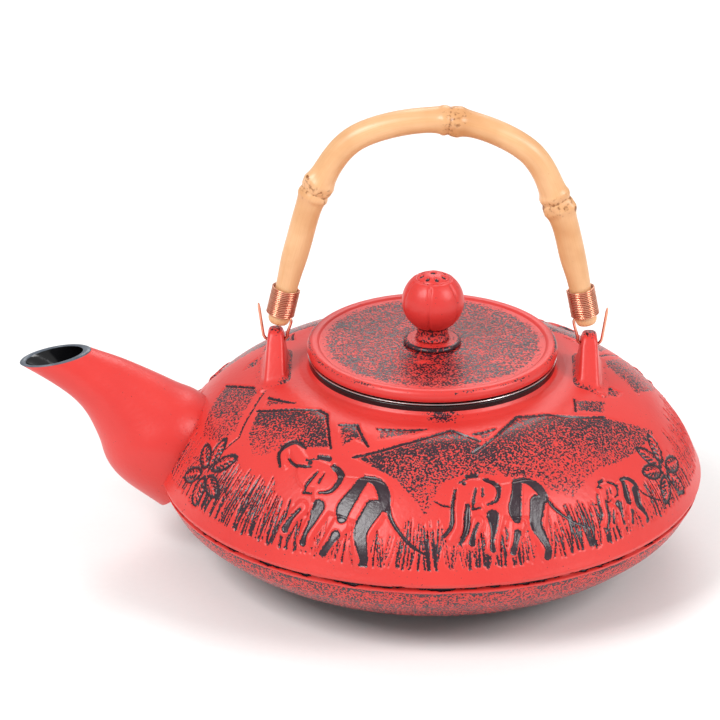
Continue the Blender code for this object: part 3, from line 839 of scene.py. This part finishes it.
def outside_shell(points):
    """Rough distance in mm from the shoulder's surface, positive outside."""
    radius = np.hypot(points[..., 0], points[..., 1])
    over = points[..., 2] - shell_height(radius)
    beyond = radius - shell_radius(points[..., 2])
    above = np.where(radius < SHOULDER[-1][0], over * 0.75, FAR)
    return np.minimum(np.where(beyond > 0, beyond * 0.8, beyond), above)


ring = full_turn(SPOUT_SIDES)
outer_end = mouth_at(ring, 2)
bore_end = mouth_at(ring, 3)
steps = np.linspace(0.10, 1.0, SPOUT_ROWS)[:, None]
bare = spout_point(steps * outer_end, ring[None, :], 2)
gap = outside_shell(bare)
spread = np.clip(FILLET - gap, 0, FILLET)
flare = 0.5 * (FILLET - np.sqrt(np.maximum(FILLET ** 2 - spread ** 2, 0)))
outer_skin = spout_point(steps * outer_end, ring[None, :], 2, flare)
for _ in range(EASING):
    outer_skin[1:-1] = (outer_skin[:-2] + 2 * outer_skin[1:-1] + outer_skin[2:]) / 4
inner_steps = np.linspace(1.0, 0.14, BORE_ROWS)[:, None]
inner_skin = spout_point(inner_steps * bore_end, ring[None, :], 3, BORE_EASE)
lip_rows = []
for turn in np.linspace(0, math.pi, 9)[1:-1]:
    share = (1 - math.cos(turn)) / 2
    lift = LIP_ROUND * math.sin(turn)
    edge = outer_skin[-1] * (1 - share) + inner_skin[0] * share
    lip_rows.append(edge + np.array((-math.sin(SPOUT_TILT), 0.0, math.cos(SPOUT_TILT))) * lift)
spout_rows = np.vstack([outer_skin, np.array(lip_rows), inner_skin])
count = len(spout_rows)
faces = grid_faces(count, SPOUT_SIDES, True, True)
row_of = faces[:, 0] // SPOUT_SIDES
picks = np.where(row_of < SPOUT_ROWS - 1, 0, np.where(row_of < SPOUT_ROWS + len(lip_rows), 1, 2))
wear = np.zeros(spout_rows.shape[:2])
wear[:SPOUT_ROWS] = tent(gap, 1.0, 3.0) * 0.12 + 0.08
spout = publish("spout", spout_rows.reshape(-1, 3), faces.tolist(), "pot",
                [pot_enamel, lip_enamel, black_enamel], face_material=picks, iron=wear)
fix = bmesh.new()
fix.from_mesh(spout.data)
bmesh.ops.recalc_face_normals(fix, faces=fix.faces)
fix.to_mesh(spout.data)
fix.free()

# %% [markdown]
# ## Ears
# Two ears stand on the shoulder at either side of the mouth. Each is cast on, wide at the foot and drawn
# in to a round top, with a cross hole for the wire hook. Hands wear the tops dark.

# %% Ears
EAR_X = 53.4
EAR = ((60.5, 5.0, 17.4), (62.0, 4.9, 17.0), (67.5, 4.2, 13.2), (74.0, 3.4, 8.8), (80.2, 2.7, 4.4),
       (81.8, 2.2, 2.9), (82.6, 1.4, 1.4))
HINGE_Z = 78.2
EAR_HOLE = 1.5
EAR_SIDES = 72
EAR_FILLET = 2.2
EAR_SHARP = 45.0


def make_ear(name, side):
    """One ear, closed, with its hole cut through along X."""
    rows = dense(smooth(EAR, 8), 0.45)
    angle = full_turn(EAR_SIDES)
    power = 0.35 + 0.25 * ramp(rows[:, :1], 79.0, 3.6)
    cx = np.sign(np.cos(angle)) * np.abs(np.cos(angle)) ** power
    cy = np.sign(np.sin(angle)) * np.abs(np.sin(angle)) ** power
    x = side * EAR_X + rows[:, 1:2] * cx
    y = rows[:, 2:3] * cy
    over = rows[:, :1] - shell_height(np.hypot(x, y))
    spread = np.clip(EAR_FILLET - over, 0, EAR_FILLET)
    flare = EAR_FILLET - np.sqrt(np.maximum(EAR_FILLET ** 2 - spread ** 2, 0))
    x = x + flare * cx
    y = y + flare * cy
    z = np.repeat(rows[:, :1], EAR_SIDES, axis=1)
    verts = np.stack([x, y, z], axis=-1).reshape(-1, 3)
    faces = grid_faces(len(rows), EAR_SIDES, False, True)[:, ::-1].tolist()
    faces += end_caps(len(rows), EAR_SIDES)
    ear = publish(name, verts, faces, "pot", [pot_enamel], sharp=EAR_SHARP)
    bpy.ops.mesh.primitive_cylinder_add(vertices=48, radius=EAR_HOLE * MM, depth=0.03,
                                        location=(side * EAR_X * MM, 0, HINGE_Z * MM),
                                        rotation=(0, math.pi / 2, 0))
    drill = bpy.context.object
    hole = ear.modifiers.new("hole", "BOOLEAN")
    hole.operation = "DIFFERENCE"
    hole.solver = "EXACT"
    hole.object = drill
    bpy.context.view_layer.update()
    done = bpy.data.meshes.new_from_object(ear.evaluated_get(bpy.context.evaluated_depsgraph_get()))
    ear.modifiers.clear()
    ear.data = done
    bpy.data.objects.remove(drill, do_unlink=True)
    done.set_sharp_from_angle(angle=math.radians(EAR_SHARP))
    points = np.array([v.co for v in done.vertices]) / MM
    foot = points[:, 2] - shell_height(np.hypot(points[:, 0], points[:, 1]))
    wear = 0.1 + 0.4 * ramp(points[:, 2], 81.2, 1.2)
    towards = side * (EAR_X * side - points[:, 0])
    wear = np.maximum(wear, np.clip(1 - foot / 2.5, 0, 1) * np.where(towards > 0, 0.58, 0.35))
    paint_points(done, "iron", wear)
    return ear


ear_left = make_ear("ear_left", -1)
ear_right = make_ear("ear_right", 1)
for part in (*shell_parts, pot_lining, spout, ear_left, ear_right):
    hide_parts("pot_body")

# %% [markdown]
# ## Lid
# The lid is a flat cast disc with a bead round its edge and a skirt below that drops inside the infuser.
# Its face is stippled by a coarse moulding sand and rubbed, and the bead is worn along its crown; painted
# shade makes the crown darker at the back.

# %% Lid
LID_TOP = [(2.4, 77.7), (38.6, 77.7), (39.3, 78.25), (40.2, 78.4), (41.3, 78.3), (42.2, 77.7), (42.7, 76.7),
           (42.7, 75.4), (42.3, 74.5), (41.5, 74.2)]
LID_UNDER = [(33.2, 74.2), (33.2, 70.6), (30.8, 70.6), (30.8, 74.2), (9.0, 74.2), (8.2, 72.6), (2.4, 72.6)]
LID_COLUMNS = 540
face_rows = dense(LID_TOP[:2], 0.45)
bead_rows = smooth(LID_TOP[1:], 5)[1:]
under_rows = dense([LID_TOP[-1]] + LID_UNDER, 2.5)[1:]
lid_rows = np.vstack([face_rows, bead_rows, under_rows])
lid_angle = full_turn(LID_COLUMNS)
LR, LZ = wrapped(lid_rows, LID_COLUMNS)
LX, LY = LR * np.cos(lid_angle), LR * np.sin(lid_angle)
on_face = (LZ > 77.6) & (LR < 38.7)
edge_wave = sum(np.sin(lid_angle * t + p) / 3 for t, p in ((5, 1.0), (9, 2.2), (14, 0.4)))
lid_iron = np.where(on_face, 0.54 + 0.06 * edge_wave * (LR / 38), 0.08)
lid_iron = np.where(on_face & (LR > 35.5), 0.54 - 0.4 * ramp(LR, 35.5, 3.0), lid_iron)
crown = tent(LR, 42.0, 0.9) * (LZ > 77.0)
# Wear along the bead's crown, plus painted shade: the sine term darkens the crown at the back.
crown_wear_and_back_shade = np.clip(0.6 + 0.35 * edge_wave + 0.3 * np.sin(lid_angle), 0, 1)
lid_iron = np.maximum(lid_iron, crown * crown_wear_and_back_shade)
lid_lift = np.zeros_like(LR)
for bx, by, rx, ry in ((-3.0, -16.5, 2.2, 1.1), (20.0, -30.0, 1.6, 0.9)):
    far = ((LX - bx) / rx) ** 2 + ((LY - by) / ry) ** 2
    lid_lift += np.where(on_face, 0.5 * np.exp(-far), 0)
    lid_iron = np.where(on_face, lid_iron * (1 - np.exp(-far)), lid_iron)
grit = np.random.default_rng(11).normal(0, 0.03, LR.shape)
lid_lift += np.where(on_face & (LR < 36), grit, 0)
lid_materials = [1 if z < 74.3 else 0 for z in lid_rows[:, 1]]
lid = turned("lid_disc", lid_rows, LID_COLUMNS, "lid", [lid_enamel, black_enamel],
             offset=lid_lift, iron=lid_iron, row_material=lid_materials)
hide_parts("lid")

# %% [markdown]
# ## Knob
# A small collar, a short neck and a ball cast like a seed head: wide segments with creases between them,
# and a slightly sunk cap with a ring of dimples. Dark iron stays in the creases and dimples.

# %% Knob
BALL_CENTRE = 93.2
BALL_RADIUS = 10.6
SEGMENTS = 6
KNOB_COLUMNS = 288
CAP_POLAR = 34
PIT_RING = 4.3
ball_turn = np.radians(np.linspace(1.0, 146.0, 120))
ball_r = BALL_RADIUS * np.sin(ball_turn)
ball_z = BALL_CENTRE + BALL_RADIUS * np.cos(ball_turn)
ball_rows = np.vstack([[(0.05, BALL_CENTRE + BALL_RADIUS)], np.stack([ball_r, ball_z], axis=1)])
neck_rows = [(5.35, 83.9), (5.2, 82.5), (5.4, 81.2), (5.8, 80.2), (5.8, 79.8)]
screw_hole = dense([(2.3, 79.8), (2.3, 90.0), (0.05, 90.0)], 3.0)
knob_rows = np.vstack([ball_rows, smooth(neck_rows, 6), screw_hole])
knob_angle = full_turn(KNOB_COLUMNS)
KR, KZ = wrapped(knob_rows, KNOB_COLUMNS)
KX, KY = KR * np.cos(knob_angle), KR * np.sin(knob_angle)
outside = np.arange(len(knob_rows))[:, None] < len(ball_rows)
polar = np.degrees(np.arctan2(KR, KZ - BALL_CENTRE))
swing = (knob_angle / (2 * math.pi) * SEGMENTS + 0.62) % 1.0
from_crease = np.minimum(swing, 1 - swing) * 2 * math.pi / SEGMENTS
crease = bell(from_crease * np.maximum(KR, 1.0), 0.55)
crease = crease * ramp(polar, 38.0, 8.0) * outside
cap_edge = bell(polar - 36.0, 3.0) * outside
on_cap = outside & (polar < CAP_POLAR)
knob_lift = -0.4 * crease - 0.3 * cap_edge - np.where(on_cap, 0.25, 0.0)
knob_iron = np.where(outside, 0.12, 0.3) + 0.1 * crease + 0.2 * cap_edge
pits = [(0.0, 0.0, 1.0)]
pits += [(PIT_RING * math.cos(k * math.pi / 4 + 0.3), PIT_RING * math.sin(k * math.pi / 4 + 0.3), 0.8)
         for k in range(8)]
for bx, by, reach in pits:
    pit = bell((KX - bx) ** 2 + (KY - by) ** 2, reach ** 2) * on_cap
    knob_lift -= 0.7 * pit
    knob_iron = np.maximum(knob_iron, pit)
knob_iron = np.maximum(knob_iron, tent(KZ, 84.2, 1.0))
knob_iron = np.where(~outside, np.maximum(knob_iron, 0.45), knob_iron)
knob = turned("lid_knob_ball", knob_rows, KNOB_COLUMNS, "lid", [lid_enamel],
              offset=knob_lift, iron=knob_iron, loop=False)
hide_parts("lid_knob")

COLLAR_COLUMNS = 160
KNOB_COLLAR = [(2.4, 79.5), (6.6, 79.5), (8.9, 79.35), (9.5, 79.1), (9.8, 78.6), (9.8, 78.2), (9.6, 78.0),
               (2.4, 78.0)]
collar_rows = dense(KNOB_COLLAR, 0.6)
collar_iron = np.repeat(np.where(collar_rows[:, :1] > 8.8, 0.7, 0.3), COLLAR_COLUMNS, axis=1)
knob_collar = turned("knob_collar_disc", collar_rows, COLLAR_COLUMNS, "lid", [lid_enamel],
                     iron=collar_iron)
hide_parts("knob_collar")

# %% [markdown]
# ## Infuser
# At rest only the rolled rim of the steel infuser shows, as a bright line between the lid and the black
# collar. The real wall and base are perforated; they sit inside the pot, so the frame's plain pieces stay,
# with a steel finish.

# %% Infuser rim and the pieces that stay as they are
RIM = [(35.0, 69.0), (35.0, 73.2), (35.3, 73.85), (36.2, 73.9), (41.9, 73.9), (42.4, 73.75), (42.5, 73.55),
       (42.35, 73.35), (41.9, 73.3), (36.2, 73.3), (35.7, 73.1), (35.6, 72.4), (35.6, 69.0)]
rim_rows = dense(RIM, 0.7)
infuser_rim = turned("infuser_rolled_rim", rim_rows, 256, "infuser", [steel])
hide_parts("infuser_rim")
STEEL_NODES = ("infuser_wall", "infuser_base", "knob_screw", "knob_washer")
for node in STEEL_NODES:
    for place_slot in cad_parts[node].material_slots:
        place_slot.material = steel
print("steel on", len(STEEL_NODES), "frame pieces")

# %% [markdown]
# ## Handle
# One thin cane, bent over heat. A growing cane has a ridge and a shallow scar at each joint, with a bud on
# alternate sides. The cane is a little oval and never quite even, and its ends are cut and rounded.

# %% Cane
CANE = ((-52.7, 84.2), (-49.5, 98.6), (-46.3, 111.8), (-39.5, 134.0), (-25.5, 152.9), (4.0, 159.0),
        (30.8, 148.6), (42.2, 127.6), (47.4, 109.0), (49.8, 98.8), (52.5, 85.4))
CANE_RADIUS = 4.4
CANE_END_RADIUS = 3.75
CANE_JOINTS = (0.30, 0.505, 0.69)
BUDS = (0.5, None, 0.5)
SCAR_BEFORE = 1.2
BUD_AFTER = 3.0
FIBRE_STRETCH = 0.03
CANE_ROWS = 620
CANE_SIDES = 72
cane_curve = smooth(CANE, 30)
cane_length = arc_length(cane_curve)[-1]
cane_at = np.linspace(0, cane_length, CANE_ROWS)
cane_xz = at_distance(cane_curve, cane_at)
cane_path = np.stack([cane_xz[:, 0], np.zeros(CANE_ROWS), cane_xz[:, 1]], axis=1)
from_end = np.minimum(cane_at, cane_length - cane_at)
joint_at = [arc_length(cane_curve)[round(f * (len(cane_curve) - 1))] for f in CANE_JOINTS]
shape = ramp(from_end, 12.0, 16.0)
cane_radius = CANE_END_RADIUS + (CANE_RADIUS - CANE_END_RADIUS) * shape * shape * (3 - 2 * shape)
dome = ramp(from_end, 0, 2.4)
cane_radius = cane_radius * (0.62 + 0.38 * np.sqrt(1 - (1 - dome) ** 2))
for middle in joint_at:
    off = cane_at - middle
    cane_radius = cane_radius + 0.85 * bell(off, 5.0) + 0.3 * bell(off - 2.2, 1.2)
    cane_radius = cane_radius + 0.3 * bell(off + 3.4, 1.0)
    cane_radius = cane_radius - 0.4 * bell(off + SCAR_BEFORE, 0.7)
turn = full_turn(CANE_SIDES)
oval = 0.10 * np.sin(2 * turn[None, :] + cane_at[:, None] / 21)
lobes = 0.07 * np.sin(3 * turn[None, :] - cane_at[:, None] / 13)
cane_bumps = (oval + lobes) * ramp(from_end, 16.0, 8.0)[:, None]
joint_paint = np.full((CANE_ROWS, CANE_SIDES), 0.15)
for middle, bud in zip(joint_at, BUDS):
    off = (cane_at - middle)[:, None]
    at_least(joint_paint, 0.62 * bell(off, 5.0))
    at_least(joint_paint, 0.9 * bell(off + SCAR_BEFORE, 0.6))
    cane_bumps = cane_bumps + 0.2 * bell(off, 4.5) * np.sin(5 * turn + middle)
    if bud is not None:
        across = ((turn - bud + math.pi) % (2 * math.pi) - math.pi) * CANE_RADIUS
        ahead = off - BUD_AFTER
        cane_bumps = cane_bumps + 0.9 * np.exp(-((ahead / 2.0) ** 2 + (across / 1.6) ** 2))
        at_least(joint_paint, 1.5 * np.exp(-((ahead / 1.0) ** 2 + (across / 0.8) ** 2)))
fibre_along = np.repeat(cane_at[:, None] * FIBRE_STRETCH, CANE_SIDES, axis=1)
fibre_side = np.repeat(np.cos(turn)[None, :], CANE_ROWS, axis=0) * CANE_RADIUS
fibre_other = np.repeat(np.sin(turn)[None, :], CANE_ROWS, axis=0) * CANE_RADIUS
cane = swept("handle_cane_bamboo", cane_path, cane_radius, CANE_SIDES, "handle", [bamboo],
             bumps=cane_bumps, iron=joint_paint,
             vectors=np.stack([fibre_along, fibre_side, fibre_other], axis=-1))
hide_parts("handle_cane")
print("cane length", round(float(cane_length), 1), "mm")

# %% [markdown]
# ## Copper
# Fifteen close turns of wire bind each end of the cane and hold a hook against its inner side. The hook
# drops to the ear, passes through the hole and turns up again outside.

# %% Windings and hooks
WINDING_START = 3.5
WINDING_TURNS = 15
WINDING_PITCH = 0.66
WINDING_RADIUS = 4.6
WINDING_WIRE = 0.29
HOOK_WIRE = 0.5
HOOK_SEAT = 3.0
HOOK_JOG = 4.3
HOOK_BEND = ((-4.1, 80.9), (-3.9, 79.2), (-3.2, 78.4), (-2.2, 78.2), (2.2, 78.2), (3.3, 78.4), (4.0, 79.3),
             (4.4, 81.0), (5.9, 91.4))


def cane_place(side, along):
    """The cane's centre and unit directions (along, inward) at a distance from one end, in (x, z)."""
    distance = along if side < 0 else cane_length - along
    here, there = at_distance(cane_curve, [distance, distance + (0.5 if side < 0 else -0.5)])
    forward = (there - here) / np.linalg.norm(there - here)
    inward = np.array((-side * abs(forward[1]), forward[0] * side))
    if inward[0] * -side < 0:
        inward = -inward
    return here, forward, inward


def make_winding(name, side):
    """Close turns of wire round one end of the cane."""
    points = []
    per_turn = 44
    for k in range(WINDING_TURNS * per_turn + 1):
        angle = k * 2 * math.pi / per_turn
        here, forward, inward = cane_place(side, WINDING_START + WINDING_PITCH * k / per_turn)
        reach = WINDING_RADIUS + 0.04 * math.sin(angle * 0.37)
        flat = here + inward * reach * math.cos(angle)
        points.append((flat[0], reach * math.sin(angle), flat[1]))
    return swept(name, points, np.full(len(points), WINDING_WIRE), 10, "handle", [copper])


def make_hook(name, side):
    """A bent wire from under the winding, through the ear and up outside it."""
    spots = []
    for along in (13.0, 9.0, 6.0, 3.0):
        here, forward, inward = cane_place(side, along)
        spots.append(here + inward * HOOK_SEAT)
    here, forward, inward = cane_place(side, 1.6)
    spots.append(here + inward * HOOK_JOG)
    for dx, z in HOOK_BEND:
        spots.append(np.array((side * (EAR_X + dx), z)))
    curve = smooth(spots, 8)
    path = np.stack([curve[:, 0], np.zeros(len(curve)), curve[:, 1]], axis=1)
    thick = np.full(len(path), HOOK_WIRE)
    thick[0] = thick[-1] = HOOK_WIRE * 0.6
    return swept(name, path, thick, 20, "handle", [copper])


for side, word in ((-1, "left"), (1, "right")):
    winding = make_winding("copper_winding_" + word, side)
    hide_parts("winding_" + word)
    hook = make_hook("copper_hook_" + word, side)
    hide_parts("hook_" + word)

# %% [markdown]
# ## Studio
# A plain pale floor runs back out of sight. One large soft light stands high at the left, a weaker one at
# the right, and a pale surround fills the shadows, so the red keeps its colour.

# %% Floor, lights and camera
paper, tree, shader, place = new_material("matte_white_paper")
tooth = add(tree, "ShaderNodeTexNoise", {}, {"Vector": place, "Scale": 400.0}).outputs["Fac"]
tint = add(tree, "ShaderNodeMix", RGBA, {0: tooth, 6: linear("F7F7F6"), 7: linear("FBFBFA")}).outputs[2]
connect(tree, shader, {"Base Color": tint, "Roughness": 0.9})
FLOOR_HALF = 9.0
FLOOR_Z = -0.0002
mesh = bpy.data.meshes.new("floor")
corners = [(x * FLOOR_HALF, y * FLOOR_HALF, FLOOR_Z) for x, y in ((-1, -1), (1, -1), (1, 1), (-1, 1))]
mesh.from_pydata(corners, [], [(0, 1, 2, 3)])
mesh.materials.append(paper)
floor = bpy.data.objects.new("floor", mesh)
bpy.context.scene.collection.objects.link(floor)

world = bpy.data.worlds.new("studio_surround")
world.use_nodes = True
connect(world.node_tree, world.node_tree.nodes["Background"], {"Color": linear("FFFFFF"), "Strength": 0.54})
bpy.context.scene.world = world
bpy.context.scene.view_settings.view_transform = "Standard"


def softbox(name, place, target, size, power):
    """A square area light that looks at a point."""
    lamp = bpy.data.lights.new(name, "AREA")
    lamp.size = size
    lamp.energy = power
    thing = bpy.data.objects.new(name, lamp)
    thing.location = place
    thing.rotation_euler = (Vector(target) - Vector(place)).to_track_quat("-Z", "Y").to_euler()
    bpy.context.scene.collection.objects.link(thing)
    return thing


softbox("key_light", (-0.9, -0.9, 1.3), (0.0, 0.0, 0.06), 0.7, 20.0)
softbox("side_light", (1.1, -0.5, 0.9), (0.0, 0.0, 0.06), 0.6, 10.0)
softbox("back_light", (0.1, 1.1, 1.1), (0.0, 0.0, 0.08), 0.8, 7.0)

CAMERA_PLACE = (0.0, -1.5587, 0.7680)
CAMERA_RIGHT = (0.99979803, 0.01888002, 0.00688761)
CAMERA_UP = (-0.01399533, 0.40812243, 0.91281992)
lens = bpy.data.cameras.new("camera")
lens.lens = 250.0
lens.sensor_width = 36.0
camera = bpy.data.objects.new("camera", lens)
right = Vector(CAMERA_RIGHT).normalized()
up = Vector(CAMERA_UP).normalized()
back = right.cross(up)
turned_axes = Matrix((right, up, back)).transposed().to_4x4()
camera.matrix_world = Matrix.Translation(CAMERA_PLACE) @ turned_axes
bpy.context.scene.collection.objects.link(camera)
bpy.context.scene.camera = camera
print("camera lens", lens.lens, "mm")
